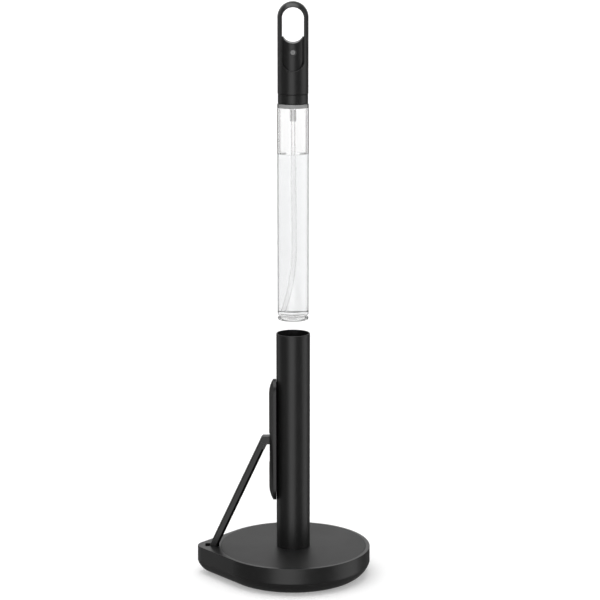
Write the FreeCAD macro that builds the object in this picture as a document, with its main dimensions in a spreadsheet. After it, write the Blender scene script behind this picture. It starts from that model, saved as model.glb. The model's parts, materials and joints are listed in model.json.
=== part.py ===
import FreeCAD, Part
import math
import os
import Sketcher

# A weighted paper towel holder: a hollow post on a round base with one lobe, a sprung arm with a
# pad, and a spray bottle that stores in the post and is shown lifted clear of it.
# Millimetres. +Z is up, the origin is on the post's axis at the ground, the arm is towards -X and
# the spray nozzle faces -Y.

os.makedirs("parts", exist_ok=True)
doc = FreeCAD.newDocument("paper_towel_holder")
sheet = doc.addObject("Spreadsheet::Sheet", "dims")


class Size:
    """A length with the spreadsheet expression that it comes from."""

    def __init__(self, value, text):
        self.value = value
        self.text = text

    def __add__(self, other):
        other = size(other)
        return Size(self.value + other.value, f"({self.text} + {other.text})")

    def __sub__(self, other):
        other = size(other)
        return Size(self.value - other.value, f"({self.text} - {other.text})")

    def __mul__(self, other):
        other = size(other)
        return Size(self.value * other.value, f"({self.text} * {other.text})")

    def __truediv__(self, other):
        other = size(other)
        return Size(self.value / other.value, f"({self.text} / {other.text})")

    def __neg__(self):
        return Size(-self.value, f"(-1 * {self.text})")

    __radd__ = __add__

    def __rsub__(self, other):
        return size(other) - self

    def __rmul__(self, other):
        return self * other


def size(number):
    if isinstance(number, Size):
        return number
    return Size(float(number), f"({float(number):.9g})")


def root(number):
    number = size(number)
    return Size(math.sqrt(number.value), f"sqrt({number.text})")


def dim(alias, value, meaning):
    """One driving dimension, as a row of the spreadsheet."""
    dim.row += 1
    sheet.set(f"A{dim.row}", meaning)
    sheet.set(f"B{dim.row}", str(value))
    sheet.setAlias(f"B{dim.row}", alias)
    return Size(float(value), f"dims.{alias}")


dim.row = 0

# ---- driving dimensions ----
ground_gap = dim("ground_gap", 1.0, "thickness of the foot pad")
base_radius = dim("base_radius", 79.5, "round part of the base")
lobe_radius = dim("lobe_radius", 14.0, "rounding at the lobe's tip")
lobe_reach = dim("lobe_reach", 85.3, "post axis to the centre of the lobe's rounding")
base_top = dim("base_top", 29.0, "height of the base's top face")
base_seam = dim("base_seam", 13.0, "height where the side wall meets the lower bowl")
bowl_inset = dim("bowl_inset", 10.2, "how far the bowl's underside lies inside the wall")
bowl_bulge = dim("bowl_bulge", 4.0, "inset of the bowl at its middle height")
shell_wall = dim("shell_wall", 2.4, "wall of the base's plastic shells")
plate_radius = dim("plate_radius", 75.4, "round top plate")
plate_thick = dim("plate_thick", 1.0, "round top plate")
weight_radius = dim("weight_radius", 60.0, "cast weight")
weight_low = dim("weight_low", 9.6, "underside of the cast weight")
weight_high = dim("weight_high", 26.0, "top of the cast weight")
screw_circle = dim("screw_circle", 48.0, "radius of the circle of cover screws")
screw_radius = dim("screw_radius", 1.9, "cover and bracket screws")
gap = dim("gap", 0.05, "room between pieces of one body that fit into each other")

post_radius = dim("post_radius", 17.25, "outside of the post")
post_wall = dim("post_wall", 1.0, "wall of the post")
post_top = dim("post_top", 254.15, "height of the post's rim")
post_foot = dim("post_foot", 12.0, "height of the post's lower end")
plug_top = dim("plug_top", 33.0, "top of the plug in the post's foot")
seat_thick = dim("seat_thick", 1.4, "soft disc under the stored bottle")

pivot_x = dim("pivot_x", -86.4, "arm hinge")
pivot_z = dim("pivot_z", 20.0, "arm hinge")
arm_lean = dim("arm_lean", 25.0, "degrees that the arm leans towards the post")
arm_width = dim("arm_width", 9.0, "arm from front to back")
arm_depth = dim("arm_depth", 7.8, "arm in its plane, channel and core together")
channel_depth = dim("channel_depth", 5.2, "steel channel in the arm's plane")
channel_wall = dim("channel_wall", 1.0, "steel channel sheet")
pin_radius = dim("pin_radius", 2.0, "arm hinge pin")

pad_face = dim("pad_face", -17.42, "X of the pad's inner face, just off the post")
pad_back_x = dim("pad_back_x", -24.8, "X of the crown of the pad's dome")
pad_rim_x = dim("pad_rim_x", -20.5, "X of the rim of the pad's dome")
pad_half = dim("pad_half", 15.0, "half the pad's width, and the radius of its ends")
pad_low = dim("pad_low", 78.4, "lower end of the pad")
pad_high = dim("pad_high", 206.0, "upper end of the pad")
pad_wall = dim("pad_wall", 1.6, "pad shell")
pad_pin_x = dim("pad_pin_x", -21.0, "pad hinge")
pad_pin_z = dim("pad_pin_z", 142.6, "pad hinge")
pad_pin_radius = dim("pad_pin_radius", 1.25, "pad hinge pin")

bottle_low = dim("bottle_low", 268.9, "underside of the lifted bottle")
bottle_radius = dim("bottle_radius", 15.75, "outside of the bottle")
bottle_wall = dim("bottle_wall", 2.0, "wall of the bottle")
bottle_skirt = dim("bottle_skirt", 273.3, "lower end of the bottle's straight wall")
shoulder_high = dim("shoulder_high", 487.9, "top of the bottle's shoulder")
neck_radius = dim("neck_radius", 11.4, "bottle neck without its thread")
neck_bore = dim("neck_bore", 10.0, "inside of the bottle neck")
neck_high = dim("neck_high", 496.2, "rim of the bottle neck")
collar_radius = dim("collar_radius", 15.15, "closure collar")
collar_low = dim("collar_low", 488.4, "lower edge of the closure collar")
collar_high = dim("collar_high", 497.4, "upper edge of the closure collar's band")
head_radius = dim("head_radius", 15.45, "pump head")
head_low = dim("head_low", 497.6, "lower edge of the pump head")
head_high = dim("head_high", 589.0, "crown of the finger loop")
head_bore = dim("head_bore", 14.0, "inside of the pump head")
loop_half = dim("loop_half", 10.85, "half the width of the finger loop and window")
window_low = dim("window_low", 520.7, "bottom of the actuator's window")
saddle_low = dim("saddle_low", 548.3, "lowest point of the actuator's saddle")
actuator_radius = dim("actuator_radius", 13.7, "curved faces of the actuator")
actuator_half = dim("actuator_half", 9.8, "half the actuator's width")
nozzle_z = dim("nozzle_z", 539.4, "height of the nozzle")
barrel_bore = dim("barrel_bore", 5.2, "pump cylinder")
tube_radius = dim("tube_radius", 2.12, "dip tube")
tube_bore = dim("tube_bore", 1.5, "dip tube")
spigot_radius = dim("spigot_radius", 3.2, "pump inlet that grips the dip tube")
stem_radius = dim("stem_radius", 2.4, "pump stem")
doc.recompute()


# ---- helpers ----
def bind(thing, prop, amount):
    """Sets a property from a number or a size, and ties it to the sheet where it comes from there."""
    if isinstance(amount, Size):
        thing.setExpression(prop, amount.text)
    else:
        setattr(thing, prop, amount)


def place(thing, x, y, z, turn=None):
    x, y, z = size(x), size(y), size(z)
    turn = turn or FreeCAD.Rotation()
    thing.Placement = FreeCAD.Placement(FreeCAD.Vector(x.value, y.value, z.value), turn)
    for name, amount in (("x", x), ("y", y), ("z", z)):
        thing.setExpression(f".Placement.Base.{name}", amount.text)


def new_body(label):
    body = doc.addObject("PartDesign::Body", label)
    body.Label = label
    return body


def origin_plane(body, role):
    return next(f for f in body.Origin.OriginFeatures if f.Role == role)


def new_sketch(body, name, plane="XY_Plane", offset=0):
    """A sketch on one of the body's own planes. On XZ_Plane the sketch's axes are X and Z."""
    sketch = body.newObject("Sketcher::SketchObject", f"{body.Label}_{name}")
    sketch.AttachmentSupport = [(origin_plane(body, plane), "")]
    sketch.MapMode = "FlatFace"
    offset = size(offset)
    sketch.AttachmentOffset = FreeCAD.Placement(
        FreeCAD.Vector(0, 0, offset.value), FreeCAD.Rotation()
    )
    sketch.setExpression(".AttachmentOffset.Base.z", offset.text)
    return sketch


def pin_point(sketch, geometry, point, x, y):
    """Ties a point of the sketch to its two coordinates."""
    for kind, axis, amount in (("DistanceX", -2, size(x)), ("DistanceY", -1, size(y))):
        if amount.value == 0:
            sketch.addConstraint(Sketcher.Constraint("PointOnObject", geometry, point, axis))
            continue
        constraint = Sketcher.Constraint(kind, -1, 1, geometry, point, amount.value)
        index = sketch.addConstraint(constraint)
        sketch.setExpression(f"Constraints[{index}]", amount.text)


def ring(sketch, radius, x=0, y=0):
    radius, x, y = size(radius), size(x), size(y)
    centre = FreeCAD.Vector(x.value, y.value, 0)
    circle = Part.Circle(centre, FreeCAD.Vector(0, 0, 1), radius.value)
    index = sketch.addGeometry(circle, False)
    pin_point(sketch, index, 3, x, y)
    tie = sketch.addConstraint(Sketcher.Constraint("Radius", index, radius.value))
    sketch.setExpression(f"Constraints[{tie}]", radius.text)
    return index


def outline(sketch, points):
    """A closed outline of straight lines through the points."""
    corners = [(size(x), size(y)) for x, y in points]
    vectors = [FreeCAD.Vector(x.value, y.value, 0) for x, y in corners]
    first = None
    for index, (x, y) in enumerate(corners):
        following = vectors[(index + 1) % len(vectors)]
        line = sketch.addGeometry(Part.LineSegment(vectors[index], following), False)
        first = line if first is None else first
        pin_point(sketch, line, 1, x, y)
        if index:
            sketch.addConstraint(Sketcher.Constraint("Coincident", line - 1, 2, line, 1))
    last = first + len(corners) - 1
    sketch.addConstraint(Sketcher.Constraint("Coincident", last, 2, first, 1))


def base_outline(sketch, inset=0):
    """The plan of the base: a large arc, two straight tangents and the lobe's arc."""
    inset = size(inset)
    large = base_radius - inset
    small = lobe_radius - inset
    slope = (base_radius - lobe_radius) / lobe_reach
    rise = root(1 - slope * slope)
    corners = [
        (-1 * (large * slope), large * rise),
        (-1 * (large * slope), -1 * (large * rise)),
        (-1 * (lobe_reach + small * slope), -1 * (small * rise)),
        (-1 * (lobe_reach + small * slope), small * rise),
    ]
    at = [FreeCAD.Vector(x.value, y.value, 0) for x, y in corners]
    right = FreeCAD.Vector(large.value, 0, 0)
    tip = FreeCAD.Vector(-lobe_reach.value - small.value, 0, 0)
    big_arc = sketch.addGeometry(Part.Arc(at[1], right, at[0]), False)
    front = sketch.addGeometry(Part.LineSegment(at[1], at[2]), False)
    tip_arc = sketch.addGeometry(Part.Arc(at[3], tip, at[2]), False)
    back = sketch.addGeometry(Part.LineSegment(at[3], at[0]), False)
    pin_point(sketch, back, 2, *corners[0])
    pin_point(sketch, front, 1, *corners[1])
    pin_point(sketch, front, 2, *corners[2])
    pin_point(sketch, back, 1, *corners[3])
    for arc, amount, lower, upper in (
        (big_arc, large, (front, 1), (back, 2)),
        (tip_arc, small, (front, 2), (back, 1)),
    ):
        ends = [sketch.getPoint(arc, end) for end in (1, 2)]
        start, stop = (1, 2) if ends[0].y < ends[1].y else (2, 1)
        sketch.addConstraint(Sketcher.Constraint("Coincident", arc, start, *lower))
        sketch.addConstraint(Sketcher.Constraint("Coincident", arc, stop, *upper))
        tie = sketch.addConstraint(Sketcher.Constraint("Radius", arc, amount.value))
        sketch.setExpression(f"Constraints[{tie}]", amount.text)


def feature(body, kind, name, profile=None):
    made = body.newObject(f"PartDesign::{kind}", f"{body.Label}_{name}")
    if profile is not None:
        made.Profile = profile
    return made


def settle(body, made, adds):
    """Recomputes, and makes sure that the feature added or removed material."""
    before = made.BaseFeature.Shape.Volume if made.BaseFeature else 0.0
    doc.recompute()
    change = made.Shape.Volume - before
    if made.Shape.isNull() or (change <= 0 if adds else change >= 0):
        raise RuntimeError(f"{made.Name} changed the volume by {change:.3f}")
    body.Tip = made
    return made


def revolve(body, sketch, name="turn"):
    made = feature(body, "Revolution", name, sketch)
    made.ReferenceAxis = (sketch, ["V_Axis"])
    made.Angle = 360
    return settle(body, made, adds=True)


def groove(body, sketch, name="groove"):
    made = feature(body, "Groove", name, sketch)
    made.ReferenceAxis = (sketch, ["V_Axis"])
    made.Angle = 360
    return settle(body, made, adds=False)


def extrude(body, sketch, length, name="pad", both_ways=False, back=False):
    made = feature(body, "Pad", name, sketch)
    bind(made, "Length", length)
    made.SideType = "Symmetric" if both_ways else "One side"
    made.Reversed = back
    return settle(body, made, adds=True)


def pocket(body, sketch, length, name="pocket", both_ways=False, upward=False):
    """Cuts towards -Z from the sketch, or towards +Z."""
    made = feature(body, "Pocket", name, sketch)
    bind(made, "Length", length)
    made.SideType = "Symmetric" if both_ways else "One side"
    made.Reversed = upward
    return settle(body, made, adds=False)


def circles_at(shape, radius, height):
    """The names of the level circular edges of a radius at a height."""
    radius, height = size(radius).value, size(height).value
    names = []
    for index, edge in enumerate(shape.Edges, start=1):
        if edge.Degenerated or not isinstance(edge.Curve, Part.Circle):
            continue
        curve = edge.Curve
        level = abs(abs(curve.Axis.z) - 1) < 1e-6 and abs(curve.Center.z - height) < 1e-4
        if level and abs(curve.Radius - radius) < 1e-4:
            names.append(f"Edge{index}")
    return names


def soften(body, edges, amount, kind="Fillet", name="soften"):
    """Rounds or bevels edges of the body's last feature."""
    if not edges:
        raise RuntimeError(f"{body.Label} has no edge to soften for {name}")
    tip = body.Tip
    made = body.newObject(f"PartDesign::{kind}", f"{body.Label}_{name}")
    made.Base = (tip, edges)
    bind(made, "Radius" if kind == "Fillet" else "Size", amount)
    doc.recompute()
    body.Tip = made
    return made


def turned(label, points, rounds=()):
    """A body turned about Z from an outline of (radius, height) points, with rounded circles."""
    body = new_body(label)
    sketch = new_sketch(body, "profile", "XZ_Plane")
    outline(sketch, points)
    revolve(body, sketch)
    for index, (radius, height, amount) in enumerate(rounds):
        soften(body, circles_at(body.Shape, radius, height), amount, name=f"round{index}")
    return body


def disc(label, radius, low, high, rounds=()):
    return turned(label, [(0, low), (radius, low), (radius, high), (0, high)], rounds)


def tube(label, inner, outer, low, high, rounds=()):
    points = [(inner, low), (outer, low), (outer, high), (inner, high)]
    return turned(label, points, rounds)


TURNS = {
    "Z": FreeCAD.Rotation(),
    "X": FreeCAD.Rotation(FreeCAD.Vector(0, 1, 0), 90),
    "Y": FreeCAD.Rotation(FreeCAD.Vector(1, 0, 0), -90),
}


def block(name, low, high):
    """A Part::Box from its lowest to its highest corner."""
    low = [size(c) for c in low]
    high = [size(c) for c in high]
    box = doc.addObject("Part::Box", name)
    for prop, a, b in zip(("Length", "Width", "Height"), low, high):
        bind(box, prop, b - a)
    place(box, *low)
    return box


def rod(name, radius, length, x, y, z, axis="Z"):
    """A Part::Cylinder that starts at a point and runs along an axis."""
    made = doc.addObject("Part::Cylinder", name)
    bind(made, "Radius", size(radius))
    bind(made, "Height", size(length))
    place(made, x, y, z, TURNS[axis])
    return made


def combine(kind, name, first, second):
    """Part::Cut, Part::Fuse or Part::Common of two objects."""
    made = doc.addObject(f"Part::{kind}", name)
    made.Base = first
    made.Tool = second
    made.Refine = True
    doc.recompute()
    return made


def cut_all(name, first, tools):
    for index, tool in enumerate(tools, start=1):
        last = name if index == len(tools) else f"{name}_cut{index}"
        first = combine("Cut", last, first, tool)
    first.Label = name
    return first


def fuse_all(name, pieces):
    made = doc.addObject("Part::MultiFuse", name)
    made.Shapes = pieces
    made.Refine = True
    doc.recompute()
    made.Label = name
    return made


def group(label, pieces):
    """Identical pieces that share one node, as separate solids."""
    made = doc.addObject("Part::Compound", label)
    made.Links = pieces
    made.Label = label
    doc.recompute()
    return made


def round_edges(label, thing, amount, wanted):
    """Part::Fillet on the edges for which wanted(edge) is true."""
    picked = [i for i, edge in enumerate(thing.Shape.Edges, start=1) if wanted(edge)]
    if not picked:
        raise RuntimeError(f"{label} has no edge to round")
    made = doc.addObject("Part::Fillet", label)
    made.Base = thing
    amount = size(amount).value
    made.Edges = [(index, amount, amount) for index in picked]
    made.Label = label
    doc.recompute()
    return made


# ---- base ----
slot_left = pivot_x - 5.2
slot_right = pivot_x + 9.4
slot_half = arm_width / 2 + 0.7
screw_angles = [45 + 90 * i for i in range(4)]
bracket_screw_x = size(-69.5)
bracket_screw_y = size(9.0)
cover_high = base_seam
floor_top = ground_gap + 3.0
boss_radius = size(4.5)


def screw_places():
    """Centres of the four cover screws, then of the two bracket screws."""
    around = []
    for angle in screw_angles:
        turn = math.radians(angle)
        around.append((screw_circle * math.cos(turn), screw_circle * math.sin(turn)))
    beside = [(bracket_screw_x, bracket_screw_y), (bracket_screw_x, -bracket_screw_y)]
    return around, beside


def make_base_shell():
    body = new_body("base_shell")
    plan = new_sketch(body, "plan", offset=base_seam)
    base_outline(plan)
    extrude(body, plan, base_top - base_seam)
    hollow = new_sketch(body, "hollow", offset=base_seam)
    base_outline(hollow, shell_wall)
    pocket(body, hollow, base_top - base_seam - 2.6, "hollow_cut", upward=True)
    recess = new_sketch(body, "recess", offset=base_top)
    ring(recess, plate_radius + 0.1)
    pocket(body, recess, plate_thick, "recess_cut")
    hole = new_sketch(body, "hole", offset=base_top)
    ring(hole, post_radius + gap)
    pocket(body, hole, 10, "hole_cut")
    slot = new_sketch(body, "slot", offset=base_top)
    corner = size(1.2)
    outline(slot, [
        (slot_left, -(slot_half - corner)),
        (slot_left + corner, -slot_half),
        (slot_right, -slot_half),
        (slot_right, slot_half),
        (slot_left + corner, slot_half),
        (slot_left, slot_half - corner),
    ])
    pocket(body, slot, 10, "slot_cut")
    bosses = new_sketch(body, "bosses", offset=weight_low + 0.4)
    for x, y in screw_places()[0]:
        ring(bosses, boss_radius, x, y)
    extrude(body, bosses, base_top - 2.0 - weight_low - 0.4, "bosses_pad")
    threads = new_sketch(body, "threads", offset=weight_low)
    for x, y in screw_places()[0]:
        ring(threads, screw_radius + gap, x, y)
    pocket(body, threads, 12.5, "threads_cut", upward=True)
    rim = [
        f"Edge{i}"
        for i, edge in enumerate(body.Shape.Edges, start=1)
        if edge.BoundBox.ZMin > base_top.value - 1e-4 and outer_rim(edge)
    ]
    soften(body, rim, 0.6, name="rim")


def outer_rim(edge):
    """Whether an edge lies on the base's outer outline."""
    middle = edge.valueAt((edge.FirstParameter + edge.LastParameter) / 2)
    from_lobe = math.hypot(middle.x + lobe_reach.value, middle.y)
    on_arc = abs(math.hypot(middle.x, middle.y) - base_radius.value) < 0.01
    on_tip = abs(from_lobe - lobe_radius.value) < 0.01 and middle.x < -lobe_reach.value
    slope = (base_radius.value - lobe_radius.value) / lobe_reach.value
    reach = -middle.x * slope + abs(middle.y) * math.sqrt(1 - slope * slope)
    return on_arc or on_tip or abs(reach - base_radius.value) < 0.01


def bowl(name, inset, low, high, bottom_inset):
    """A loft between three plans of the base: wide at the seam and narrower at the floor."""
    body = new_body(name)
    middle = low + (high - low) * 0.42
    plans = []
    for index, (height, extra) in enumerate(
        ((high, size(0)), (middle, bowl_bulge), (low, bottom_inset))
    ):
        plan = new_sketch(body, f"plan{index}", offset=height)
        base_outline(plan, inset + extra)
        plans.append(plan)
    loft = feature(body, "AdditiveLoft", "loft", plans[0])
    loft.Sections = plans[1:]
    loft.Ruled = False
    settle(body, loft, adds=True)
    return body


def make_bottom_cover():
    outside = bowl("cover_outside", size(0), ground_gap, base_seam - 0.05, bowl_inset)
    inside = bowl("cover_inside", shell_wall, floor_top, base_seam + 0.5, bowl_inset - 2.0)
    holes = []
    rises = []
    around, beside = screw_places()
    for index, (x, y) in enumerate(around + beside):
        high = weight_low - 0.05
        rises.append(rod(f"cover_boss{index}", boss_radius, high - 3.0, x, y, 3.0))
        holes.append(rod(f"cover_hole{index}", screw_radius + 0.2, 20, x, y, 0))
        holes.append(rod(f"cover_sink{index}", 3.8, 1.8, x, y, ground_gap))
    cup = turned("cover_cup", [
        (4.3, 7.0), (10.0, 7.0), (10.0, 3.0), (12.5, 3.0), (12.5, 9.5), (4.3, 9.5),
    ])
    mouth = rod("cover_mouth", 10.0, 6.0, 0, 0, 1.0)
    tray = combine("Cut", "cover_tray", outside, inside)
    tray = combine("Cut", "cover_open", tray, mouth)
    whole = fuse_all("cover_whole", [tray, cup] + rises)
    cut_all("bottom_cover", whole, holes)


def make_weight():
    body = turned("base_weight", [
        (post_radius + 0.15, weight_low + 2.6),
        (20.4, weight_low + 2.6),
        (20.4, weight_low),
        (weight_radius, weight_low),
        (weight_radius, weight_high),
        (post_radius + 0.15, weight_high),
    ])
    holes = new_sketch(body, "holes", offset=weight_high)
    for x, y in screw_places()[0]:
        ring(holes, boss_radius + 0.3, x, y)
    pocket(body, holes, 30, "holes_cut")
    edges = circles_at(body.Shape, weight_radius, weight_high)
    soften(body, edges, 1.5, name="edge")


def screw(name, head, low, head_high, length, x, y):
    """A pan-head screw that points up, with a cross slot in its head."""
    shank = rod(f"{name}_shank", screw_radius, length, x, y, head_high)
    cap = rod(f"{name}_cap", head, head_high - low, x, y, low)
    both = fuse_all(f"{name}_both", [shank, cap])
    slots = []
    for index, (a, b) in enumerate(((2.2, 0.45), (0.45, 2.2))):
        slots.append(block(f"{name}_slot{index}", (x - a, y - b, low - 0.1), (x + a, y + b, low + 0.8)))
    return cut_all(f"{name}_cut", both, slots)


def make_base_fittings():
    disc("foot_pad", 66.0, 0, ground_gap, rounds=[(66.0, 0, 0.4)])
    plate = turned("base_top_plate", [
        (post_radius + gap, base_top - plate_thick),
        (plate_radius, base_top - plate_thick),
        (plate_radius, base_top),
        (post_radius + gap, base_top),
    ])
    soften(plate, circles_at(plate.Shape, plate_radius, base_top), 0.25, "Chamfer")
    around, beside = screw_places()
    low = ground_gap + 0.25
    head_high = ground_gap + 1.75
    cover = [screw(f"cover_screw{i}", 3.4, low, head_high, 19, *at) for i, at in enumerate(around)]
    group("cover_screws", cover)
    bracket = [screw(f"bracket_screw{i}", 3.4, low, head_high, 8.4, *at) for i, at in enumerate(beside)]
    group("bracket_screws", bracket)
    tube("post_washer", 4.1, 9.0, 6.0, 6.95, rounds=[(9.0, 6.0, 0.3)])
    bolt = turned("post_bolt", [
        (0, 1.4), (6.4, 1.4), (6.4, 5.95), (3.9, 5.95), (3.9, 25.0), (0, 25.0),
    ], rounds=[(6.4, 1.4, 0.6), (3.9, 25.0, 0.5)])
    socket = new_sketch(bolt, "socket", offset=1.4)
    outline(socket, [
        (3.0 * math.cos(math.radians(60 * i)), 3.0 * math.sin(math.radians(60 * i)))
        for i in range(6)
    ])
    pocket(bolt, socket, 2.8, "socket_cut", upward=True)


def make_post():
    tube(
        "post_tube", post_radius - post_wall, post_radius, post_foot + gap, post_top,
        rounds=[(post_radius, post_top, 0.35), (post_radius - post_wall, post_top, 0.35)],
    )
    bore = post_radius - post_wall
    turned("post_plug", [
        (4.0, weight_low), (20.2, weight_low), (20.2, post_foot), (bore - gap, post_foot),
        (bore - gap, plug_top), (0, plug_top), (0, 28.0), (4.0, 28.0),
    ], rounds=[(bore - gap, plug_top, 0.8)])
    turned("bottle_seat", [
        (0, plug_top + gap), (bore - 0.3, plug_top + gap),
        (bore - 0.3, plug_top + seat_thick), (0, plug_top + seat_thick),
    ], rounds=[(bore - 0.3, plug_top + seat_thick, 0.4)])


# ---- arm hinge ----
ear_inner = size(7.0)
ear_outer = size(8.5)
hub_half = size(4.5)


def make_pivot():
    foot = block("bracket_foot", (-90.0, -ear_outer, weight_low), (-74.0, ear_outer, weight_low + 1.5))
    wings = block("bracket_wings", (-74.5, -13.0, weight_low), (-65.5, 13.0, weight_low + 1.5))
    pieces = [foot, wings]
    for side, low in (("front", -ear_outer), ("back", ear_inner)):
        web = block(f"bracket_{side}", (-80.0, low, weight_low), (-74.0, low + 1.5, 20.0))
        ear = rod(f"bracket_{side}_round", 4.6, 1.5, pivot_x, low, pivot_z, "Y")
        stem = block(f"bracket_{side}_stem", (pivot_x - 3.6, low, weight_low), (-78.0, low + 1.5, pivot_z))
        pieces += [web, ear, stem]
    whole = fuse_all("bracket_whole", pieces)
    holes = [rod("bracket_pin_hole", pin_radius + 0.03, 30, pivot_x, -15, pivot_z, "Y")]
    for index, (x, y) in enumerate(screw_places()[1]):
        holes.append(rod(f"bracket_hole{index}", screw_radius + gap, 6, x, y, 8))
    cut_all("pivot_bracket", whole, holes)

    shaft = rod("arm_pin_shaft", pin_radius, 19.4, pivot_x, -9.7, pivot_z, "Y")
    grooves = []
    clips = []
    for side, y in (("front", -9.5), ("back", 8.7)):
        outer = rod(f"pin_groove_{side}", 3.0, 0.8, pivot_x, y, pivot_z, "Y")
        inner = rod(f"pin_core_{side}", 1.5, 0.8, pivot_x, y, pivot_z, "Y")
        grooves.append(combine("Cut", f"pin_ring_{side}", outer, inner))
        flat = rod(f"clip_flat_{side}", 3.6, 0.6, pivot_x, y + 0.1, pivot_z, "Y")
        throat = rod(f"clip_bore_{side}", 1.55, 1.0, pivot_x, y, pivot_z, "Y")
        mouth = block(
            f"clip_mouth_{side}", (pivot_x - 1.0, y, pivot_z), (pivot_x + 1.0, y + 1.0, pivot_z + 5.0)
        )
        clips.append(cut_all(f"clip_{side}", flat, [throat, mouth]))
    cut_all("arm_pin", shaft, grooves)
    group("pin_clips", clips)
    make_arm_spring()


def coil(radius, wire, turns, start, pitch, axis_x, axis_z):
    """A close coil about an axis along Y, from a start in Y."""
    helix = Part.makeHelix(pitch, pitch * turns, radius)
    profile = Part.Wire([Part.makeCircle(wire, FreeCAD.Vector(radius, 0, 0), FreeCAD.Vector(0, 1, 0))])
    made = Part.Wire(helix).makePipeShell([profile], True, True)
    made.rotate(FreeCAD.Vector(0, 0, 0), FreeCAD.Vector(1, 0, 0), -90)
    made.translate(FreeCAD.Vector(axis_x, start, axis_z))
    return made


def make_arm_spring():
    """Two coils on the hinge pin, one on each side of the arm's hub."""
    wire = 0.5
    coils = [
        coil(2.9, wire, 1.35, start, 1.02, pivot_x.value, pivot_z.value)
        for start in (-hub_half.value - 1.94, hub_half.value + 0.56)
    ]
    made = doc.addObject("Part::Feature", "arm_spring")
    made.Shape = Part.makeCompound(coils)
    made.Label = "arm_spring"
    made.Placement = FreeCAD.Placement()


# ---- arm ----
lean = math.radians(arm_lean.value)
along = FreeCAD.Vector(math.sin(lean), 0, math.cos(lean))
arm_turn = FreeCAD.Rotation(FreeCAD.Vector(0, 1, 0), arm_lean.value)
strut_low = size(8.0)
strut_high = size(131.5)
outer_side = -(arm_depth / 2)
inner_side = arm_depth / 2


def on_arm(name, low, high):
    """A box in the arm's own frame, where X is across the arm, outward negative, and Z is along it."""
    box = block(name, low, high)
    corner = FreeCAD.Vector(box.Placement.Base)
    for axis in "xyz":
        box.setExpression(f".Placement.Base.{axis}", None)
    hinge = FreeCAD.Vector(pivot_x.value, 0, pivot_z.value)
    box.Placement = FreeCAD.Placement(hinge + arm_turn.multVec(corner), arm_turn)
    return box


def make_arm():
    half = arm_width / 2
    skin = on_arm(
        "strut_skin", (outer_side, -half, strut_low), (outer_side + channel_depth, half, strut_high)
    )
    inside = on_arm(
        "strut_inside",
        (outer_side + channel_wall, -half + channel_wall, strut_low - 1),
        (outer_side + channel_depth + 1, half - channel_wall, strut_high + 1),
    )
    channel = combine("Cut", "strut_channel", skin, inside)
    outer_edges = along_arm_edges(channel.Shape, outer_side, half)
    rounded = doc.addObject("Part::Fillet", "arm_strut")
    rounded.Base = channel
    rounded.Edges = [(index, 0.8, 0.8) for index in outer_edges]
    rounded.Label = "arm_strut"
    doc.recompute()

    tongue = channel_wall + 0.05
    filling = on_arm(
        "core_filling",
        (outer_side + tongue, -half + tongue, strut_low - 1.5),
        (outer_side + channel_depth + 0.1, half - tongue, strut_high - 6.0),
    )
    underside = on_arm(
        "core_underside",
        (outer_side + channel_depth + 0.05, -half, strut_low - 1.5),
        (inner_side, half, strut_high - 6.0),
    )
    doc.recompute()
    bevelled = doc.addObject("Part::Chamfer", "core_bevelled")
    bevelled.Base = underside
    inner_edges = along_arm_edges(underside.Shape, inner_side, half)
    bevelled.Edges = [(index, 2.4, 2.4) for index in inner_edges]
    foot = on_arm("core_foot", (outer_side, -half, 0), (inner_side, half, strut_low - 0.1))
    hub = rod("core_hub", 4.6, hub_half * 2, pivot_x, -hub_half, pivot_z, "Y")
    core = fuse_all("core_whole", [filling, bevelled, foot, hub])
    bore = rod("core_bore", 3.05, 20, pivot_x, -10, pivot_z, "Y")
    cut_all("arm_core", core, [bore])

    sleeve = rod("bush_outer", 3.0, hub_half * 2, pivot_x, -hub_half, pivot_z, "Y")
    bush_bore = rod("bush_bore", pin_radius + 0.05, 20, pivot_x, -10, pivot_z, "Y")
    cut_all("arm_bush", sleeve, [bush_bore])


def along_arm_edges(shape, across, half):
    """The two corners at one depth of the arm that run along it, at half its width."""
    across, half = size(across).value, size(half).value
    found = []
    hinge = FreeCAD.Vector(pivot_x.value, 0, pivot_z.value)
    back = arm_turn.inverted()
    for index, edge in enumerate(shape.Edges, start=1):
        a, b = [back.multVec(v.Point - hinge) for v in (edge.Vertexes[0], edge.Vertexes[-1])]
        runs = abs(a.z - b.z) > 50
        corner = abs(a.x - across) < 0.01 and abs(abs(a.y) - half) < 0.01
        if runs and corner:
            found.append(index)
    return found


def on_side(across, up):
    """The (x, z) place of a point given across the arm and along it."""
    hinge = FreeCAD.Vector(pivot_x.value, 0, pivot_z.value)
    spot = FreeCAD.Vector(size(across).value, 0, size(up).value)
    spot = hinge + arm_turn.multVec(spot)
    return spot.x, spot.z


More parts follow.
